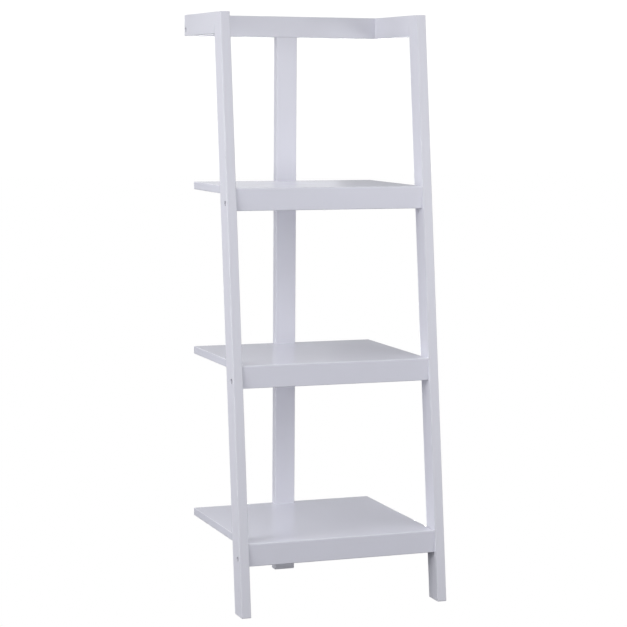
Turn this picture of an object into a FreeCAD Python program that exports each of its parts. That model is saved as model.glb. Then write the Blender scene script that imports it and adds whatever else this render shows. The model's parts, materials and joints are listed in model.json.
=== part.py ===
import FreeCAD, Part
import math
import os

# Ladder shelf in lacquered wood: two leaning front legs, one upright rear leg, a top frame of three
# rails, and three shelves, each a panel with an apron along its front edge.
# Millimetres. X runs to the right, Y to the back and Z up. The origin is on the floor, under the
# middle of the overall box. Each board's outer edges are eased, and the joints are drawn up by cap
# screws that pull on barrel nuts, with glued dowels beside them.

Vector = FreeCAD.Vector
RIGHT = Vector(1, 0, 0)
BACKWARD = Vector(0, 1, 0)
UP = Vector(0, 0, 1)

# Overall
HEIGHT = 1200.0
WIDTH = 444.0
BASE_DEPTH = 394.0            # from the front legs' leading edge on the floor to the back plane
TOP_DEPTH = 248.0             # the same at the top of the legs

# Frame boards
FRAME_THICKNESS = 20.0        # legs and rails
LEG_BOARD_WIDTH = 44.0        # front leg, square to its length
RAIL_HEIGHT = 44.0
REAR_LEG_WIDTH = 45.0

# Shelves
LOWEST_SHELF_TOP = 146.0
SHELF_PITCH = 352.0
SHELF_NAMES = ("bottom", "middle", "top")
SHELF_THICKNESS = 16.0        # panels and aprons
APRON_HEIGHT = 46.0
APRON_SETBACK = 1.0           # behind the leg's leading edge, at the shelf's top
PANEL_SIDE_GAP = 0.5          # between a panel and each leg
NOTCH_GAP = 0.3               # between a panel and each side of the rear leg

# Eased edges
EASE = 1.5
APRON_TOP_EASE = 2.5

# Cap screws and the holes they go through
HEAD_RADIUS = 5.0
HEAD_HEIGHT = 6.0
HEAD_EDGE = 0.6
SOCKET_ACROSS_FLATS = 5.0
SOCKET_DEPTH = 3.2
SHANK_RADIUS = 3.0
SHANK_LENGTH = 40.0
TIP_CHAMFER = 1.0
HEAD_RECESS = 3.0             # from the board's face down to the head
COUNTERBORE_RADIUS = 5.4
CLEARANCE_RADIUS = 3.4
HOLE_SPARE_DEPTH = 2.0        # past the screw's tip

# Barrel nuts
NUT_RADIUS = 5.0
NUT_LENGTH = 12.0
NUT_CHAMFER = 0.5
NUT_THREAD_RADIUS = 3.05
NUT_SLOT_WIDTH = 1.4
NUT_SLOT_DEPTH = 1.6
NUT_HOLE_RADIUS = 5.05
NUT_SEAT_GAP = 0.2            # under the nut's far end
NUT_DISTANCE = 43.0           # from the face that the screw goes in at to the nut's axis

# Dowels
DOWEL_RADIUS = 4.0
DOWEL_LENGTH = 30.0
DOWEL_SHORT_END = 11.0        # the stretch let into a frame board's 20 mm thickness
LONG_DOWEL_LENGTH = 40.0
SLIM_DOWEL_RADIUS = 3.0
SLIM_DOWEL_LENGTH = 24.0
SLIM_DOWEL_SHORT_END = 9.0    # the stretch let into an apron's thickness
DOWEL_CHAMFER = 1.0
DOWEL_HOLE_GAP = 0.05
DOWEL_END_GAP = 1.0
FLUTE_COUNT = 8
FLUTE_RADIUS = 0.45

# Where the joints sit
APRON_BOLT_DROP = 31.0        # below the shelf's top
APRON_DOWEL_DROP = 14.0
RAIL_BOLT_DROP = 31.5         # below the rail's top
RAIL_DOWEL_DROP = 13.0
LEG_TOP_DOWEL_DROPS = (12.0, 32.0)
REAR_LEG_DOWEL_OFFSET = 11.0  # each side of the middle
PANEL_DOWEL_OFFSETS = (-150.0, -50.0, 50.0, 150.0)
OVERRUN = 1.0                 # how far a cutting tool stands out of the face it enters

# Derived places
INNER_HALF_WIDTH = WIDTH / 2 - FRAME_THICKNESS
BACK = BASE_DEPTH / 2
LEAN_RUN = BASE_DEPTH - TOP_DEPTH
LEG_RUN = LEG_BOARD_WIDTH / math.cos(math.atan(LEAN_RUN / HEIGHT))
RAIL_BOTTOM = HEIGHT - RAIL_HEIGHT
REAR_LEG_FRONT = BACK - FRAME_THICKNESS
FRAME_MID_Y = BACK - FRAME_THICKNESS / 2
SIDES = {"left": -1, "right": 1}
SHELF_TOPS = {name: LOWEST_SHELF_TOP + step * SHELF_PITCH for step, name in enumerate(SHELF_NAMES)}


def leg_front(z):
    """Y of a front leg's leading edge at height z."""
    return BACK - BASE_DEPTH + LEAN_RUN * z / HEIGHT


def leg_back(z):
    """Y of a front leg's rear edge at height z."""
    return leg_front(z) + LEG_RUN


def apron_front(shelf_top):
    """Y of the front face of the apron whose shelf has its top at shelf_top."""
    return leg_front(shelf_top) + APRON_SETBACK


# Shapes to build with


def box(low, high):
    size = high - low
    return Part.makeBox(size.x, size.y, size.z, low)


def prism(points, sweep):
    """A solid swept from the closed outline through points."""
    return Part.Face(Part.makePolygon(points + points[:1])).extrude(sweep)


def rod(start, direction, radius, length):
    return Part.makeCylinder(radius, length, start, direction)


def fused(shapes):
    return shapes[0].multiFuse(shapes[1:])


def eased(solid, radius, chosen):
    """The solid with a round of radius on each edge that chosen accepts."""
    return solid.makeFillet(radius, [edge for edge in solid.Edges if chosen(edge)])


def runs_along(edge, direction):
    first, last = [vertex.Point for vertex in edge.Vertexes]
    return abs((last - first).normalize().dot(direction)) > 0.999


def placed(shape, point, z_direction, x_direction):
    """A copy of shape with its own origin at point and its Z and X along the directions."""
    turn = FreeCAD.Rotation(x_direction, z_direction.cross(x_direction), z_direction, "ZXY")
    copy = shape.copy()
    copy.Placement = FreeCAD.Placement(point, turn)
    return copy


# Fasteners, each made along its own Z


def hexagon(across_flats, z):
    radius = across_flats / math.sqrt(3)
    turns = [math.pi / 3 * step for step in range(6)]
    return [Vector(radius * math.cos(turn), radius * math.sin(turn), z) for turn in turns]


def cap_screw():
    """A socket cap screw. Z = 0 is the face of the board, and the screw runs along +Z."""
    head = rod(Vector(0, 0, HEAD_RECESS), UP, HEAD_RADIUS, HEAD_HEIGHT)
    rims = [edge for edge in head.Edges if edge.Closed]
    head = head.makeFillet(HEAD_EDGE, [min(rims, key=lambda rim: rim.CenterOfMass.z)])
    socket = prism(hexagon(SOCKET_ACROSS_FLATS, HEAD_RECESS - OVERRUN), UP * (SOCKET_DEPTH + OVERRUN))
    under_head = HEAD_RECESS + HEAD_HEIGHT
    shank = rod(Vector(0, 0, under_head), UP, SHANK_RADIUS, SHANK_LENGTH - TIP_CHAMFER)
    tip = Part.makeCone(SHANK_RADIUS, SHANK_RADIUS - TIP_CHAMFER, TIP_CHAMFER,
                        Vector(0, 0, under_head + SHANK_LENGTH - TIP_CHAMFER))
    return fused([head, shank, tip]).cut(socket)


def screw_hole():
    """The counterbore and clearance hole of a cap screw, in the same place as the screw."""
    head_seat = HEAD_RECESS + HEAD_HEIGHT
    counterbore = rod(Vector(0, 0, -OVERRUN), UP, COUNTERBORE_RADIUS, head_seat + OVERRUN)
    reach = head_seat + SHANK_LENGTH + HOLE_SPARE_DEPTH
    return counterbore.fuse(rod(Vector(0, 0, 0), UP, CLEARANCE_RADIUS, reach))


def barrel_nut():
    """A barrel nut about the origin, with its slotted end at +Z and its thread along X."""
    half = NUT_LENGTH / 2
    body = rod(Vector(0, 0, -half), UP, NUT_RADIUS, NUT_LENGTH)
    body = body.makeChamfer(NUT_CHAMFER, [edge for edge in body.Edges if edge.Closed])
    thread = rod(Vector(-NUT_RADIUS - OVERRUN, 0, 0), RIGHT, NUT_THREAD_RADIUS, 2 * (NUT_RADIUS + OVERRUN))
    slot = box(Vector(-NUT_RADIUS - OVERRUN, -NUT_SLOT_WIDTH / 2, half - NUT_SLOT_DEPTH),
               Vector(NUT_RADIUS + OVERRUN, NUT_SLOT_WIDTH / 2, half + OVERRUN))
    return body.cut(fused([thread, slot]))


def nut_hole(mouth):
    """A barrel nut's blind hole, from its far end out to mouth, past the board's face."""
    bottom = NUT_LENGTH / 2 + NUT_SEAT_GAP
    return rod(Vector(0, 0, -bottom), UP, NUT_HOLE_RADIUS, bottom + mouth + OVERRUN)


def dowel(radius, length):
    """A fluted dowel along +Z from the origin, chamfered at both ends."""
    peg = rod(Vector(0, 0, 0), UP, radius, length)
    peg = peg.makeChamfer(DOWEL_CHAMFER, [edge for edge in peg.Edges if edge.Closed])
    turns = [2 * math.pi / FLUTE_COUNT * step for step in range(FLUTE_COUNT)]
    starts = [Vector(radius * math.cos(turn), radius * math.sin(turn), -OVERRUN) for turn in turns]
    return peg.cut([rod(start, UP, FLUTE_RADIUS, length + 2 * OVERRUN) for start in starts])


def dowel_hole(radius, length):
    """The hole for a dowel, in the same place as the dowel."""
    start = Vector(0, 0, -DOWEL_END_GAP)
    return rod(start, UP, radius + DOWEL_HOLE_GAP, length + 2 * DOWEL_END_GAP)


# Joints. A bolted joint gives (screw, nut, hole) and a dowelled one (peg, hole). The same hole is
# cut from both boards.


def bolted(entry, inward, nut_axis, nut_mouth):
    nut_centre = entry + inward * NUT_DISTANCE
    screw = placed(cap_screw(), entry, inward, nut_axis)
    nut = placed(barrel_nut(), nut_centre, nut_axis, inward)
    hole = placed(screw_hole(), entry, inward, nut_axis)
    return screw, nut, hole.fuse(placed(nut_hole(nut_mouth), nut_centre, nut_axis, inward))


def dowelled(joint_face, inward, aside, radius, length, short_end):
    """A dowel across the joint at joint_face, with short_end of it on the side it comes from."""
    start = joint_face - inward * short_end
    peg = placed(dowel(radius, length), start, inward, aside)
    return peg, placed(dowel_hole(radius, length), start, inward, aside)


def apron_bolt(side, shelf_top):
    """The bolt through a leg into an apron's end, at the middle of the apron's thickness."""
    y = apron_front(shelf_top) + SHELF_THICKNESS / 2
    entry = Vector(side * WIDTH / 2, y, shelf_top - APRON_BOLT_DROP)
    return bolted(entry, RIGHT * -side, BACKWARD, SHELF_THICKNESS / 2)


def apron_end_dowel(side, shelf_top):
    y = apron_front(shelf_top) + SHELF_THICKNESS / 2
    face = Vector(side * INNER_HALF_WIDTH, y, shelf_top - APRON_DOWEL_DROP)
    return dowelled(face, RIGHT * -side, UP, DOWEL_RADIUS, DOWEL_LENGTH, DOWEL_SHORT_END)


def panel_dowels(shelf_top):
    """The dowels from an apron's back into its panel's front edge."""
    y = apron_front(shelf_top) + SHELF_THICKNESS
    faces = [Vector(x, y, shelf_top - SHELF_THICKNESS / 2) for x in PANEL_DOWEL_OFFSETS]
    return [dowelled(face, BACKWARD, UP, SLIM_DOWEL_RADIUS, SLIM_DOWEL_LENGTH, SLIM_DOWEL_SHORT_END)
            for face in faces]


def panel_bolt(shelf_top):
    """The bolt through the rear leg into a panel, with its nut let in from underneath."""
    entry = Vector(0, BACK, shelf_top - SHELF_THICKNESS / 2)
    return bolted(entry, -BACKWARD, -UP, SHELF_THICKNESS / 2)


def rail_bolt(side):
    """The bolt through a side rail into the back rail's end."""
    entry = Vector(side * WIDTH / 2, FRAME_MID_Y, HEIGHT - RAIL_BOLT_DROP)
    return bolted(entry, RIGHT * -side, BACKWARD, FRAME_THICKNESS / 2)


def rail_end_dowel(side):
    face = Vector(side * INNER_HALF_WIDTH, FRAME_MID_Y, HEIGHT - RAIL_DOWEL_DROP)
    return dowelled(face, RIGHT * -side, UP, DOWEL_RADIUS, DOWEL_LENGTH, DOWEL_SHORT_END)


def leg_top_dowels(side):
    """The dowels from a front leg's rear edge into its side rail."""
    x = side * (WIDTH - FRAME_THICKNESS) / 2
    faces = [Vector(x, leg_back(HEIGHT - drop), HEIGHT - drop) for drop in LEG_TOP_DOWEL_DROPS]
    return [dowelled(face, BACKWARD, UP, DOWEL_RADIUS, LONG_DOWEL_LENGTH, LONG_DOWEL_LENGTH / 2)
            for face in faces]


def rear_leg_dowels():
    """The dowels from the rear leg's top into the back rail."""
    faces = [Vector(side * REAR_LEG_DOWEL_OFFSET, FRAME_MID_Y, RAIL_BOTTOM) for side in SIDES.values()]
    return [dowelled(face, UP, RIGHT, DOWEL_RADIUS, LONG_DOWEL_LENGTH, LONG_DOWEL_LENGTH / 2)
            for face in faces]


def holes(joints):
    return [joint[-1] for joint in joints]


# Boards


def front_leg(side):
    """A leaning board with level ends, full-edged where the side rail meets it."""
    inner = side * INNER_HALF_WIDTH
    sweep = RIGHT * (side * FRAME_THICKNESS)
    corners = [(leg_front(0), 0), (leg_back(0), 0), (leg_back(HEIGHT), HEIGHT), (leg_front(HEIGHT), HEIGHT)]
    blank = prism([Vector(inner, y, z) for y, z in corners], sweep)
    meeting = rail_section(side, leg_back(HEIGHT) - 2 * EASE, BACK).common(blank)
    leg = eased(blank, EASE, lambda edge: True).fuse(meeting).removeSplitter()
    bolts = [apron_bolt(side, top) for top in SHELF_TOPS.values()]
    dowels = [apron_end_dowel(side, top) for top in SHELF_TOPS.values()]
    return leg.cut(holes(bolts + dowels + leg_top_dowels(side)))


def rail_section(side, front, back):
    """A square-ended length of side rail with its four long edges eased."""
    outer = side * WIDTH / 2
    inner = side * INNER_HALF_WIDTH
    rail = box(Vector(min(inner, outer), front, RAIL_BOTTOM), Vector(max(inner, outer), back, HEIGHT))
    return eased(rail, EASE, lambda edge: runs_along(edge, BACKWARD))


def side_rail(side):
    """A level board from the leg's rear edge to the back plane, cut to the leg's lean in front."""
    inner = side * INNER_HALF_WIDTH
    corners = [(leg_back(RAIL_BOTTOM), RAIL_BOTTOM), (BACK, RAIL_BOTTOM),
               (BACK, HEIGHT), (leg_back(HEIGHT), HEIGHT)]
    blank = prism([Vector(inner, y, z) for y, z in corners], RIGHT * (side * FRAME_THICKNESS))
    rail = eased(blank, EASE, lambda edge: edge.CenterOfMass.y > leg_back(HEIGHT))
    return rail.cut(holes([rail_bolt(side), rail_end_dowel(side)] + leg_top_dowels(side)))


def back_rail():
    """A level board between the side rails, flush with their back ends."""
    low = Vector(-INNER_HALF_WIDTH, REAR_LEG_FRONT, RAIL_BOTTOM)
    rail = box(low, Vector(INNER_HALF_WIDTH, BACK, HEIGHT))
    rail = eased(rail, EASE, lambda edge: runs_along(edge, RIGHT))
    ends = [joint(side) for side in SIDES.values() for joint in (rail_bolt, rail_end_dowel)]
    return rail.cut(holes(ends + rear_leg_dowels()))


def rear_leg():
    """An upright board under the middle of the back rail."""
    half = REAR_LEG_WIDTH / 2
    leg = box(Vector(-half, REAR_LEG_FRONT, 0), Vector(half, BACK, RAIL_BOTTOM))
    leg = eased(leg, EASE, lambda edge: edge.CenterOfMass.z < RAIL_BOTTOM - EASE)
    bolts = [panel_bolt(top) for top in SHELF_TOPS.values()]
    return leg.cut(holes(bolts + rear_leg_dowels()))


def shelf_panel(shelf_top):
    """A flat panel from the apron's back to the back plane, notched round the rear leg."""
    half = INNER_HALF_WIDTH - PANEL_SIDE_GAP
    notch = REAR_LEG_WIDTH / 2 + NOTCH_GAP
    front = apron_front(shelf_top) + SHELF_THICKNESS
    outline = [(-half, front), (half, front), (half, BACK), (notch, BACK),
               (notch, REAR_LEG_FRONT), (-notch, REAR_LEG_FRONT), (-notch, BACK), (-half, BACK)]
    underside = shelf_top - SHELF_THICKNESS
    panel = prism([Vector(x, y, underside) for x, y in outline], UP * SHELF_THICKNESS)
    panel = eased(panel, EASE, lambda edge: edge.CenterOfMass.y > front and abs(edge.CenterOfMass.x) > notch)
    return panel.cut(holes([panel_bolt(shelf_top)] + panel_dowels(shelf_top)))


def front_apron(shelf_top):
    """An upright board between the legs that covers the panel's front edge."""
    front = apron_front(shelf_top)
    low = Vector(-INNER_HALF_WIDTH, front, shelf_top - APRON_HEIGHT)
    apron = box(low, Vector(INNER_HALF_WIDTH, front + SHELF_THICKNESS, shelf_top))
    middle = shelf_top - APRON_HEIGHT / 2
    apron = eased(apron, EASE, lambda edge: runs_along(edge, RIGHT) and edge.CenterOfMass.z < middle)
    apron = eased(apron, APRON_TOP_EASE, lambda edge: edge.CenterOfMass.z > shelf_top - EASE
                  and edge.CenterOfMass.y < front + EASE and runs_along(edge, RIGHT))
    ends = [joint(side, shelf_top) for side in SIDES.values() for joint in (apron_bolt, apron_end_dowel)]
    return apron.cut(holes(ends + panel_dowels(shelf_top)))


# Groups of like fasteners


def group(shapes):
    return Part.makeCompound(shapes)


def board_nodes():
    nodes = {"back_rail": back_rail(), "rear_leg": rear_leg()}
    for name, side in SIDES.items():
        nodes["front_leg_" + name] = front_leg(side)
        nodes["side_rail_" + name] = side_rail(side)
    for name, top in SHELF_TOPS.items():
        nodes["shelf_panel_" + name] = shelf_panel(top)
        nodes["front_apron_" + name] = front_apron(top)
    return nodes


def fastener_nodes():
    tops = SHELF_TOPS.values()
    rail_bolts = [rail_bolt(side) for side in SIDES.values()]
    panel_bolts = [panel_bolt(top) for top in tops]
    nodes = {
        "rail_bolts": group([screw for screw, nut, hole in rail_bolts]),
        "rail_barrel_nuts": group([nut for screw, nut, hole in rail_bolts]),
        "rail_corner_dowels": group([rail_end_dowel(side)[0] for side in SIDES.values()]),
        "rear_leg_bolts": group([screw for screw, nut, hole in panel_bolts]),
        "panel_barrel_nuts": group([nut for screw, nut, hole in panel_bolts]),
        "rear_leg_dowels": group([peg for peg, hole in rear_leg_dowels()]),
    }
    for name, side in SIDES.items():
        bolts = [apron_bolt(side, top) for top in tops]
        nodes["leg_bolts_" + name] = group([screw for screw, nut, hole in bolts])
        nodes["apron_barrel_nuts_" + name] = group([nut for screw, nut, hole in bolts])
        nodes["apron_end_dowels_" + name] = group([apron_end_dowel(side, top)[0] for top in tops])
        nodes["leg_top_dowels_" + name] = group([peg for peg, hole in leg_top_dowels(side)])
    for name, top in SHELF_TOPS.items():
        nodes["panel_dowels_" + name] = group([peg for peg, hole in panel_dowels(top)])
    return nodes


os.makedirs("parts", exist_ok=True)
for node, shape in {**board_nodes(), **fastener_nodes()}.items():
    shape.exportStep("parts/" + node + ".step")
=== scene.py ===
import json
import math

import bmesh
import bpy
from mathutils import Matrix, Vector


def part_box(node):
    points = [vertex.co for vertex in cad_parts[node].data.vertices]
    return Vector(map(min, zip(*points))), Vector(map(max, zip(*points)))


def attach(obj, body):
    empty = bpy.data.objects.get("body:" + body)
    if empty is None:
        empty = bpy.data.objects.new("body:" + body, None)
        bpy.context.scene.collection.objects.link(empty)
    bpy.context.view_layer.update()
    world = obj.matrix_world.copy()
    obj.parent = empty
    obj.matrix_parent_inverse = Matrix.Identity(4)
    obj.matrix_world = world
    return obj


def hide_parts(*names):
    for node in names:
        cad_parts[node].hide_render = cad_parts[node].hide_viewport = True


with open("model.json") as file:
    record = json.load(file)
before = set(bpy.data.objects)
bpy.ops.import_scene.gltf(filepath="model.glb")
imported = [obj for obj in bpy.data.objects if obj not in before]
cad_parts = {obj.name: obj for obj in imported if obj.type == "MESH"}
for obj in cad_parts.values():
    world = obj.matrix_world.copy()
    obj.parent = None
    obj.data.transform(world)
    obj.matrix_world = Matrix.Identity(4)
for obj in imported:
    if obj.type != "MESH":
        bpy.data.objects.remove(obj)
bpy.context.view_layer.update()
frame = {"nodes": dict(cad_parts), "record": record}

# Metres, degrees and watts throughout. X runs to the right, Y to the back and Z up.
RIGHT = Vector((1, 0, 0))
BACKWARD = Vector((0, 1, 0))
UP = Vector((0, 0, 1))

# Camera
CAMERA_PLACE = (-1.4630, -3.9463, 1.0468)
CAMERA_TURN = 20.322          # to the right of straight back
CAMERA_TILT = -6.296          # from level, where up is positive
CAMERA_ROLL = 0.366
CAMERA_LENS = 116.78
CAMERA_SENSOR = 36.0
CAMERA_REACH = 100.0

# Studio: each soft box has a name, a place, a width and height, and a power, and faces AIM
AIM = Vector((0.0, 0.0, 0.62))
SOFT_BOXES = [
    ("left", (-2.3, -1.0, 0.9), (1.3, 1.2), 22.8),
    ("left_near", (-1.6, -0.3, 1.0), (0.6, 1.2), 6.7),
    ("top_left", (-1.2, 0.0, 2.6), (1.0, 1.0), 2.9),
    ("top", (0.0, -0.4, 3.0), (2.0, 1.6), 8.0),
    ("front_high", (-1.7, -2.2, 2.6), (1.2, 1.2), 9.6),
    ("front_near", (0.6, -1.2, 1.2), (0.5, 0.9), 2.35),
    ("right_low", (1.9, -2.0, 0.5), (1.0, 0.8), 14.3),
    ("back", (0.3, 2.6, 1.8), (1.6, 1.6), 5.7),
    ("back_low", (1.3, 3.2, 0.06), (1.4, 0.1), 30.0),
    ("side_low", (3.2, 0.5, 0.06), (1.4, 0.1), 12.0),
]
LIGHT_TINT = (0.960, 0.966, 1.0)
ROOM_LIGHT = 0.47             # from overhead, fading to none at the horizon
ROOM_LIGHT_FULL = 0.4         # sine of the height at which it is full
ROOM_SHEEN = 0.37             # the least that gloss reflects of the room
BACKDROP_WHITE = 1.05
FLOOR_SIZE = 40.0
FLOOR_DROP = 0.0002           # below the feet
FLOOR_COLOUR = (0.20, 0.20, 0.21)
FLOOR_GLOW = 1.0              # seen by the camera only, and from above

# Boards: the direction that each one's grain runs in, by the start of the node's name. A side
# rail's front end lies on its leg, so the end's lower and upper corners give the leg's lean.
LEG_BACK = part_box("front_leg_left")[1].y
RAIL_LOW, RAIL_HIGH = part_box("side_rail_left")
LEAN = (UP * (RAIL_HIGH.z - RAIL_LOW.z) + BACKWARD * (LEG_BACK - RAIL_LOW.y)).normalized()
GRAIN = {
    "front_leg": LEAN,
    "rear_leg": UP,
    "side_rail": BACKWARD,
    "back_rail": RIGHT,
    "shelf_panel": RIGHT,
    "front_apron": RIGHT,
    "apron_end_dowels": RIGHT,
    "rail_corner_dowels": RIGHT,
    "leg_top_dowels": BACKWARD,
    "panel_dowels": BACKWARD,
    "rear_leg_dowels": UP,
}

# Paint
FRAME_WHITE = (0.816, 0.816, 0.872)
SHELF_WHITE = (0.855, 0.856, 0.930)
SPRAY_WHITE = (0.765, 0.763, 0.792)
# Rounded edges are darkened towards this white: painted shade that holds back the highlight the edges
# catch, together with thin worn paint.
EDGE_WEAR_AND_SHADE_WHITE = (0.62, 0.618, 0.644)
FRAME_ROUGHNESS = (0.28, 0.34)
SHELF_ROUGHNESS = (0.17, 0.23)
THIN_PAINT_AND_SHADE = (0.5, 1.0)       # how much the rounded edges show thin paint and painted shade, from patch to patch
EDGE_DULLING = 0.25           # added to the roughness where the paint is thin
FACE_COSINE = 0.97            # of the angle to the nearest axis, where a board's face ends
EDGE_COSINE = 0.75            # and where the middle of its rounded edge begins
SPRAY_PATCH = 0.09
SPRAY_SHARE = (0.0, 0.3)      # of SPRAY_WHITE, from patch to patch
PEEL_SIZE = 0.0028
PEEL_DEPTH = 0.00002
FIBRE_SIZE = 0.0011
FIBRE_STRETCH = 40.0
WOOD_FIBRE_DEPTH = 0.000045
BOARD_FIBRE_DEPTH = 0.000006
FINE_DETAIL = 3.0             # octaves of noise in the paint, zinc and wood

# Steel
PHOSPHATE_DARK = (0.26, 0.26, 0.27)
PHOSPHATE_PALE = (0.40, 0.40, 0.412)
PHOSPHATE_METALLIC = 0.6
PHOSPHATE_ROUGHNESS = (0.3, 0.5)
PHOSPHATE_PATCH = 0.002
PHOSPHATE_DETAIL = 4.0
GRIT_SIZE = 0.0003
GRIT_DEPTH = 0.000004
ZINC_DARK = (0.56, 0.57, 0.60)
ZINC_PALE = (0.68, 0.69, 0.70)
ZINC_ROUGHNESS = (0.24, 0.42)
ZINC_PATCH = 0.003
CRYSTALS_PER_METRE = 900.0
CRYSTAL_DEPTH = 0.000002

# Beech
BEECH_DARK = (0.62, 0.44, 0.26)
BEECH_PALE = (0.76, 0.58, 0.38)
BEECH_ROUGHNESS = (0.55, 0.7)
GROWTH_SIZE = 0.002
GROWTH_STRETCH = 25.0
GROWTH_DEPTH = 0.00005
FLECK_BROWN = (0.40, 0.24, 0.12)
FLECK_SIZE = 0.0006
FLECK_STRETCH = 8.0
FLECK_START = 0.58            # the noise at which a fleck begins
FLECK_END = 0.72              # and at which it is darkest
FLECK_SHARE = 0.8             # of FLECK_BROWN where it is darkest

# M6 cap screw, whose heights are measured from the top of its head down to its tip
SCREW_NODES = {
    "leg_bolts_left": "leg_cap_screws_left",
    "leg_bolts_right": "leg_cap_screws_right",
    "rail_bolts": "rail_cap_screws",
    "rear_leg_bolts": "rear_leg_cap_screws",
}
SCREW_SPACING = 0.1           # along X plus Z, one node's screws are further apart than this
SCREW_SIDES = 48
HEAD_RADIUS = 0.005
HEAD_HEIGHT = 0.006
HEAD_ROUND = 0.0006
HEAD_ROUND_STEPS = 4
KNURL_COUNT = 24
KNURL_DEPTH = 0.00026
KNURL_MARGIN = 0.001          # smooth at each end of the head
SOCKET_HALF_WIDTH = 0.0025
SOCKET_RIM = 0.003            # radius of the bevel round the socket
SOCKET_BEVEL = 0.0004
SOCKET_DEPTH = 0.0032
DRILL_RADIUS = 0.0022
DRILL_POINT = 0.0002          # radius that the drilled cone comes down to
DRILL_DEPTH = 0.0039
SHANK_RADIUS = 0.003
NECK_RADIUS = 0.0033
THREAD_START = 0.022
THREAD_ROOT = 0.00245
THREAD_PITCH = 0.001
THREAD_STEPS = 3              # rings in one pitch
SCREW_LENGTH = 0.046
TIP_TAPER = 0.0012
SHARP_ANGLE = 30.0


class Shader:
    """The nodes of one material or world, with short ways to add and link them."""

    def __init__(self, owner):
        owner.use_nodes = True
        self.tree = owner.node_tree
        self.tree.nodes.clear()

    def add(self, kind, settings=(), **inputs):
        node = self.tree.nodes.new(kind)
        for name, value in dict(settings).items():
            setattr(node, name, value)
        for name, value in inputs.items():
            self.plug(node.inputs[name.replace("_", " ")], value)
        return node

    def plug(self, socket, value):
        if isinstance(value, bpy.types.NodeSocket):
            self.tree.links.new(value, socket)
        else:
            socket.default_value = value

    def math(self, operation, *values):
        node = self.add("ShaderNodeMath", {"operation": operation})
        for socket, value in zip(node.inputs, values):
            self.plug(socket, value)
        return node.outputs["Value"]

    def vector(self, operation, *values):
        node = self.add("ShaderNodeVectorMath", {"operation": operation})
        for socket, value in zip(node.inputs, values):
            self.plug(socket, value)
        return node.outputs["Value" if operation == "DOT_PRODUCT" else "Vector"]

    def place(self):
        return self.add("ShaderNodeTexCoord").outputs["Object"]

    def noise(self, place, size, detail=2.0):
        cloud = self.add("ShaderNodeTexNoise", Vector=place, Scale=1 / size, Detail=detail)
        return cloud.outputs["Fac"]

    def spread(self, value, low, high, start=0.0, end=1.0):
        """value, carried from the range start to end over to the range low to high."""
        node = self.add("ShaderNodeMapRange", Value=value, From_Min=start, From_Max=end)
        self.plug(node.inputs["To Min"], low)
        self.plug(node.inputs["To Max"], high)
        return node.outputs["Result"]

    def mix(self, share, first, second):
        """first where share is 0, second where it is 1."""
        node = self.add("ShaderNodeMix", {"data_type": "RGBA"}, Factor=share)
        colours = [socket for socket in node.inputs if socket.type == "RGBA"]
        self.plug(colours[0], first)
        self.plug(colours[1], second)
        return next(socket for socket in node.outputs if socket.type == "RGBA")

    def stretched(self, along, stretch):
        """The place, with distances along one direction divided by stretch."""
        place = self.place()
        distance = self.vector("DOT_PRODUCT", place, along)
        step = self.add("ShaderNodeVectorMath", {"operation": "SCALE"})
        step.inputs[0].default_value = along
        self.plug(step.inputs["Scale"], self.math("MULTIPLY", distance, 1 / stretch - 1))
        return self.vector("ADD", place, step.outputs["Vector"])

    def bump(self, height):
        """The normal of a relief whose height is in metres."""
        return self.add("ShaderNodeBump", Height=height, Distance=1.0).outputs["Normal"]

    def blend(self, share, first, second):
        """The shader first where share is 0, and second where it is 1."""
        node = self.add("ShaderNodeMixShader", Fac=share)
        self.plug(node.inputs[1], first.outputs[0])
        self.plug(node.inputs[2], second.outputs[0])
        return node

    def surface(self, **inputs):
        shader = self.add("ShaderNodeBsdfPrincipled", **inputs)
        self.add("ShaderNodeOutputMaterial", Surface=shader.outputs[0])


def opaque(colour):
    return (*colour, 1.0)


def rounded_edge(nodes, along):
    """1 in the middle of a board's rounded edges, falling to 0 on its faces."""
    across = RIGHT if along != RIGHT else UP
    normal = nodes.add("ShaderNodeNewGeometry").outputs["Normal"]
    facing = 0.0
    for axis in (along, across, along.cross(across)):
        part = nodes.math("ABSOLUTE", nodes.vector("DOT_PRODUCT", normal, axis))
        facing = nodes.math("MAXIMUM", part, facing)
    return nodes.spread(facing, 0.0, 1.0, start=FACE_COSINE, end=EDGE_COSINE)


def lacquer(name, colour, gloss, along, fibre_depth):
    """White satin paint, sprayed on a board whose fibres show through it."""
    material = bpy.data.materials.new(name)
    nodes = Shader(material)
    cloud = nodes.noise(nodes.place(), SPRAY_PATCH, FINE_DETAIL)
    peel = nodes.noise(nodes.place(), PEEL_SIZE)
    fibres = nodes.noise(nodes.stretched(along, FIBRE_STRETCH), FIBRE_SIZE, FINE_DETAIL)
    # The rounded edges get painted shade against the highlight they catch, plus thin worn paint; the
    # same mask also dulls the gloss there.
    thin_paint_and_edge_shade = nodes.math("MULTIPLY", rounded_edge(nodes, along), nodes.spread(cloud, *THIN_PAINT_AND_SHADE))
    tone = nodes.mix(nodes.spread(cloud, *SPRAY_SHARE), opaque(colour), opaque(SPRAY_WHITE))
    dulling = nodes.math("MULTIPLY", thin_paint_and_edge_shade, EDGE_DULLING)
    roughness = nodes.math("ADD", nodes.spread(cloud, *gloss), dulling)
    fibre_relief = nodes.math("MULTIPLY", fibres, fibre_depth)
    relief = nodes.math("ADD", nodes.math("MULTIPLY", peel, PEEL_DEPTH), fibre_relief)
    nodes.surface(Base_Color=nodes.mix(thin_paint_and_edge_shade, tone, opaque(EDGE_WEAR_AND_SHADE_WHITE)), Roughness=roughness,
                  Normal=nodes.bump(relief))
    return material


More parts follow.
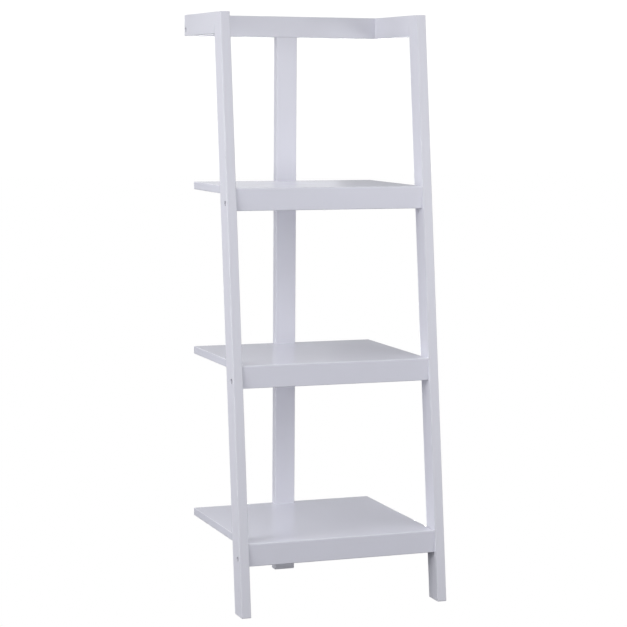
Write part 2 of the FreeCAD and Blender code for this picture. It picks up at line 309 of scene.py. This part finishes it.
def phosphate():
    """Grey phosphate on steel, uneven in tone and gloss."""
    material = bpy.data.materials.new("grey_phosphate")
    nodes = Shader(material)
    cloud = nodes.noise(nodes.place(), PHOSPHATE_PATCH, PHOSPHATE_DETAIL)
    grit = nodes.noise(nodes.place(), GRIT_SIZE)
    tone = nodes.mix(cloud, opaque(PHOSPHATE_DARK), opaque(PHOSPHATE_PALE))
    relief = nodes.math("MULTIPLY", grit, GRIT_DEPTH)
    nodes.surface(Base_Color=tone, Metallic=PHOSPHATE_METALLIC,
                  Roughness=nodes.spread(cloud, *PHOSPHATE_ROUGHNESS), Normal=nodes.bump(relief))
    return material


def zinc():
    """Bright zinc plating with its faint crystals."""
    material = bpy.data.materials.new("zinc_plate")
    nodes = Shader(material)
    cells = nodes.add("ShaderNodeTexVoronoi", Vector=nodes.place(), Scale=CRYSTALS_PER_METRE)
    crystals = cells.outputs["Distance"]
    cloud = nodes.noise(nodes.place(), ZINC_PATCH, FINE_DETAIL)
    tone = nodes.mix(cloud, opaque(ZINC_DARK), opaque(ZINC_PALE))
    relief = nodes.math("MULTIPLY", crystals, CRYSTAL_DEPTH)
    nodes.surface(Base_Color=tone, Metallic=1.0, Roughness=nodes.spread(crystals, *ZINC_ROUGHNESS),
                  Normal=nodes.bump(relief))
    return material


def beech(name, along):
    """Bare beech: pale, with short dark flecks along the dowel."""
    material = bpy.data.materials.new(name)
    nodes = Shader(material)
    growth = nodes.noise(nodes.stretched(along, GROWTH_STRETCH), GROWTH_SIZE, FINE_DETAIL)
    rays = nodes.noise(nodes.stretched(along, FLECK_STRETCH), FLECK_SIZE)
    flecks = nodes.spread(rays, 0.0, FLECK_SHARE, start=FLECK_START, end=FLECK_END)
    wood = nodes.mix(growth, opaque(BEECH_DARK), opaque(BEECH_PALE))
    relief = nodes.math("MULTIPLY", growth, GROWTH_DEPTH)
    nodes.surface(Base_Color=nodes.mix(flecks, wood, opaque(FLECK_BROWN)),
                  Roughness=nodes.spread(growth, *BEECH_ROUGHNESS), Normal=nodes.bump(relief))
    return material


def finish_for(node, slot):
    """The finish of a record slot, made for the direction that the node's grain runs in."""
    along = next((way for start, way in GRAIN.items() if node.startswith(start)), UP)
    if slot == "frame_lacquer":
        return lacquer(node + "_paint", FRAME_WHITE, FRAME_ROUGHNESS, along, WOOD_FIBRE_DEPTH)
    if slot == "shelf_lacquer":
        return lacquer(node + "_paint", SHELF_WHITE, SHELF_ROUGHNESS, along, BOARD_FIBRE_DEPTH)
    if slot == "beech_dowel":
        return beech(node + "_beech", along)
    return {"grey_screw_steel": PHOSPHATE, "zinc_steel": ZINC}[slot]


def lathe(rings, sides):
    """A closed skin through rings of (height, radius at each angle), with a lid on each end."""
    skin = bmesh.new()
    turns = [2 * math.pi * step / sides for step in range(sides)]
    loops = []
    for height, radius in rings:
        spots = [(radius(turn) * math.cos(turn), radius(turn) * math.sin(turn)) for turn in turns]
        loops.append([skin.verts.new((*spot, height)) for spot in spots])
    for upper, lower in zip(loops, loops[1:]):
        for step in range(sides):
            after = (step + 1) % sides
            skin.faces.new((upper[step], upper[after], lower[after], lower[step]))
    skin.faces.new(loops[0])
    skin.faces.new(loops[-1])
    bmesh.ops.recalc_face_normals(skin, faces=skin.faces)
    return skin


def circle(radius):
    return lambda turn: radius


def hexagon(turn):
    sixth = math.pi / 3
    return SOCKET_HALF_WIDTH / math.cos(turn % sixth - sixth / 2)


def knurl(turn):
    """The side of the head, fluted for grip."""
    return HEAD_RADIUS - KNURL_DEPTH * (0.5 - 0.5 * math.cos(KNURL_COUNT * turn))


def thread(height):
    """The radius at each angle of a thread that runs out into the tip."""
    past_taper = max(0.0, height - (SCREW_LENGTH - TIP_TAPER))
    depth = (SHANK_RADIUS - THREAD_ROOT) * (1 - past_taper / TIP_TAPER)

    def radius(turn):
        phase = (height / THREAD_PITCH - turn / (2 * math.pi)) % 1.0
        return THREAD_ROOT + depth * (1 - abs(2 * phase - 1))
    return radius


def socket_rings():
    """From the drilled point at the bottom of the socket up to the rim of its bevel."""
    return [(DRILL_DEPTH, circle(DRILL_POINT)), (SOCKET_DEPTH, circle(DRILL_RADIUS)),
            (SOCKET_DEPTH, hexagon), (SOCKET_BEVEL, hexagon), (0.0, circle(SOCKET_RIM))]


def head_rings():
    """From the rounded top of the head down its knurled side to its underside."""
    rings = []
    for step in range(HEAD_ROUND_STEPS + 1):
        bend = math.pi / 2 * step / HEAD_ROUND_STEPS
        radius = HEAD_RADIUS - HEAD_ROUND * (1 - math.sin(bend))
        rings.append((HEAD_ROUND * (1 - math.cos(bend)), circle(radius)))
    return rings + [(KNURL_MARGIN, knurl), (HEAD_HEIGHT - KNURL_MARGIN, knurl),
                    (HEAD_HEIGHT - HEAD_ROUND, circle(HEAD_RADIUS)),
                    (HEAD_HEIGHT, circle(HEAD_RADIUS - HEAD_ROUND / 2))]


def shank_rings():
    """The neck under the head, the plain shank and the thread, down to the tip."""
    neck_end = HEAD_HEIGHT + NECK_RADIUS - SHANK_RADIUS
    plain = [(HEAD_HEIGHT, circle(NECK_RADIUS)), (neck_end, circle(SHANK_RADIUS)),
             (THREAD_START, circle(SHANK_RADIUS))]
    count = round((SCREW_LENGTH - THREAD_START) / THREAD_PITCH * THREAD_STEPS)
    heights = [THREAD_START + THREAD_PITCH * step / THREAD_STEPS for step in range(1, count + 1)]
    return plain + [(height, thread(height)) for height in heights]


def cap_screw():
    """One cap screw along +Z, with the top of its head at the origin."""
    skin = lathe(socket_rings() + head_rings() + shank_rings(), SCREW_SIDES)
    mesh = bpy.data.meshes.new("cap_screw")
    skin.to_mesh(mesh)
    skin.free()
    return mesh


def screw_places(node):
    """The top of each screw's head in a CAD node, and the direction that the screw runs in."""
    points = [vertex.co for vertex in frame["nodes"][node].data.vertices]
    points.sort(key=lambda point: point.x + point.z)
    groups = [[points[0]]]
    for point, following in zip(points, points[1:]):
        if following.x + following.z - point.x - point.z > SCREW_SPACING:
            groups.append([])
        groups[-1].append(following)
    places = []
    for group in groups:
        low = Vector([min(point[axis] for point in group) for axis in range(3)])
        high = Vector([max(point[axis] for point in group) for axis in range(3)])
        top = (low + high) / 2
        axis = max(range(3), key=lambda number: high[number] - low[number])
        inward = Vector((0, 0, 0))
        inward[axis] = -math.copysign(1, top[axis])
        top[axis] = low[axis] if inward[axis] > 0 else high[axis]
        places.append((top, inward))
    return places


def detailed_screws(node, name, screw):
    """The screws of a CAD node, each with its knurl, socket and thread."""
    skin = bmesh.new()
    for top, inward in screw_places(node):
        before = len(skin.verts)
        skin.from_mesh(screw)
        turn = inward.to_track_quat("Z", "Y").to_matrix().to_4x4()
        added = list(skin.verts)[before:]
        bmesh.ops.transform(skin, matrix=Matrix.Translation(top) @ turn, verts=added)
    mesh = bpy.data.meshes.new(name)
    skin.to_mesh(mesh)
    skin.free()
    mesh.shade_smooth()
    mesh.set_sharp_from_angle(angle=math.radians(SHARP_ANGLE))
    mesh.materials.append(PHOSPHATE)
    piece = bpy.data.objects.new(name, mesh)
    bpy.context.scene.collection.objects.link(piece)
    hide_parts(node)
    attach(piece, "root")


PHOSPHATE = phosphate()
ZINC = zinc()
for row in frame["record"]["subparts"]:
    for slot in frame["nodes"][row["node"]].material_slots:
        slot.material = finish_for(row["node"], row["material_slot"])

SCREW = cap_screw()
for node, name in SCREW_NODES.items():
    detailed_screws(node, name, SCREW)


def seen_by_camera(nodes, hidden, shown):
    """shown where the camera looks straight at it, hidden for all other light."""
    seen = nodes.add("ShaderNodeLightPath").outputs["Is Camera Ray"]
    return nodes.blend(seen, hidden, shown)


def stage_floor():
    half = FLOOR_SIZE / 2
    mesh = bpy.data.meshes.new("floor")
    corners = [(-half, -half, 0), (half, -half, 0), (half, half, 0), (-half, half, 0)]
    mesh.from_pydata(corners, [], [(0, 1, 2, 3)])
    floor = bpy.data.objects.new("floor", mesh)
    floor.location.z = -FLOOR_DROP
    bpy.context.scene.collection.objects.link(floor)
    material = bpy.data.materials.new("pale_floor")
    nodes = Shader(material)
    matte = nodes.add("ShaderNodeBsdfDiffuse", Color=opaque(FLOOR_COLOUR))
    glow = nodes.add("ShaderNodeEmission", Strength=FLOOR_GLOW)
    clear = nodes.add("ShaderNodeBsdfTransparent")
    under = nodes.add("ShaderNodeNewGeometry").outputs["Backfacing"]
    shown = nodes.blend(under, glow, clear)
    nodes.add("ShaderNodeOutputMaterial", Surface=seen_by_camera(nodes, matte, shown).outputs[0])
    mesh.materials.append(material)


def studio_world():
    world = bpy.data.worlds.new("studio")
    nodes = Shader(world)
    height = nodes.add("ShaderNodeTexCoord").outputs["Generated"]
    rise = nodes.spread(nodes.vector("DOT_PRODUCT", height, UP), 0.0, ROOM_LIGHT, end=ROOM_LIGHT_FULL)
    glossy = nodes.add("ShaderNodeLightPath").outputs["Is Glossy Ray"]
    strength = nodes.math("MAXIMUM", rise, nodes.math("MULTIPLY", glossy, ROOM_SHEEN))
    room = nodes.add("ShaderNodeBackground", Color=opaque(LIGHT_TINT), Strength=strength)
    white = nodes.add("ShaderNodeBackground", Color=(1, 1, 1, 1), Strength=BACKDROP_WHITE)
    nodes.add("ShaderNodeOutputWorld", Surface=seen_by_camera(nodes, room, white).outputs[0])
    bpy.context.scene.world = world


def soft_box(name, place, size, power):
    light = bpy.data.lights.new(name, "AREA")
    light.shape = "RECTANGLE"
    light.size, light.size_y = size
    light.energy = power
    light.color = LIGHT_TINT
    box = bpy.data.objects.new(name, light)
    box.location = place
    box.rotation_euler = (AIM - Vector(place)).to_track_quat("-Z", "Y").to_euler()
    bpy.context.scene.collection.objects.link(box)


def camera():
    lens = bpy.data.cameras.new("camera")
    lens.lens = CAMERA_LENS
    lens.sensor_width = CAMERA_SENSOR
    lens.clip_end = CAMERA_REACH
    viewer = bpy.data.objects.new("camera", lens)
    turn = Matrix.Rotation(math.radians(-CAMERA_TURN), 4, "Z")
    tilt = Matrix.Rotation(math.radians(90 + CAMERA_TILT), 4, "X")
    roll = Matrix.Rotation(math.radians(CAMERA_ROLL), 4, "Z")
    viewer.matrix_world = Matrix.Translation(CAMERA_PLACE) @ turn @ tilt @ roll
    bpy.context.scene.collection.objects.link(viewer)
    bpy.context.scene.camera = viewer


bpy.context.scene.view_settings.view_transform = "Standard"
stage_floor()
studio_world()
for soft in SOFT_BOXES:
    soft_box(*soft)
camera()
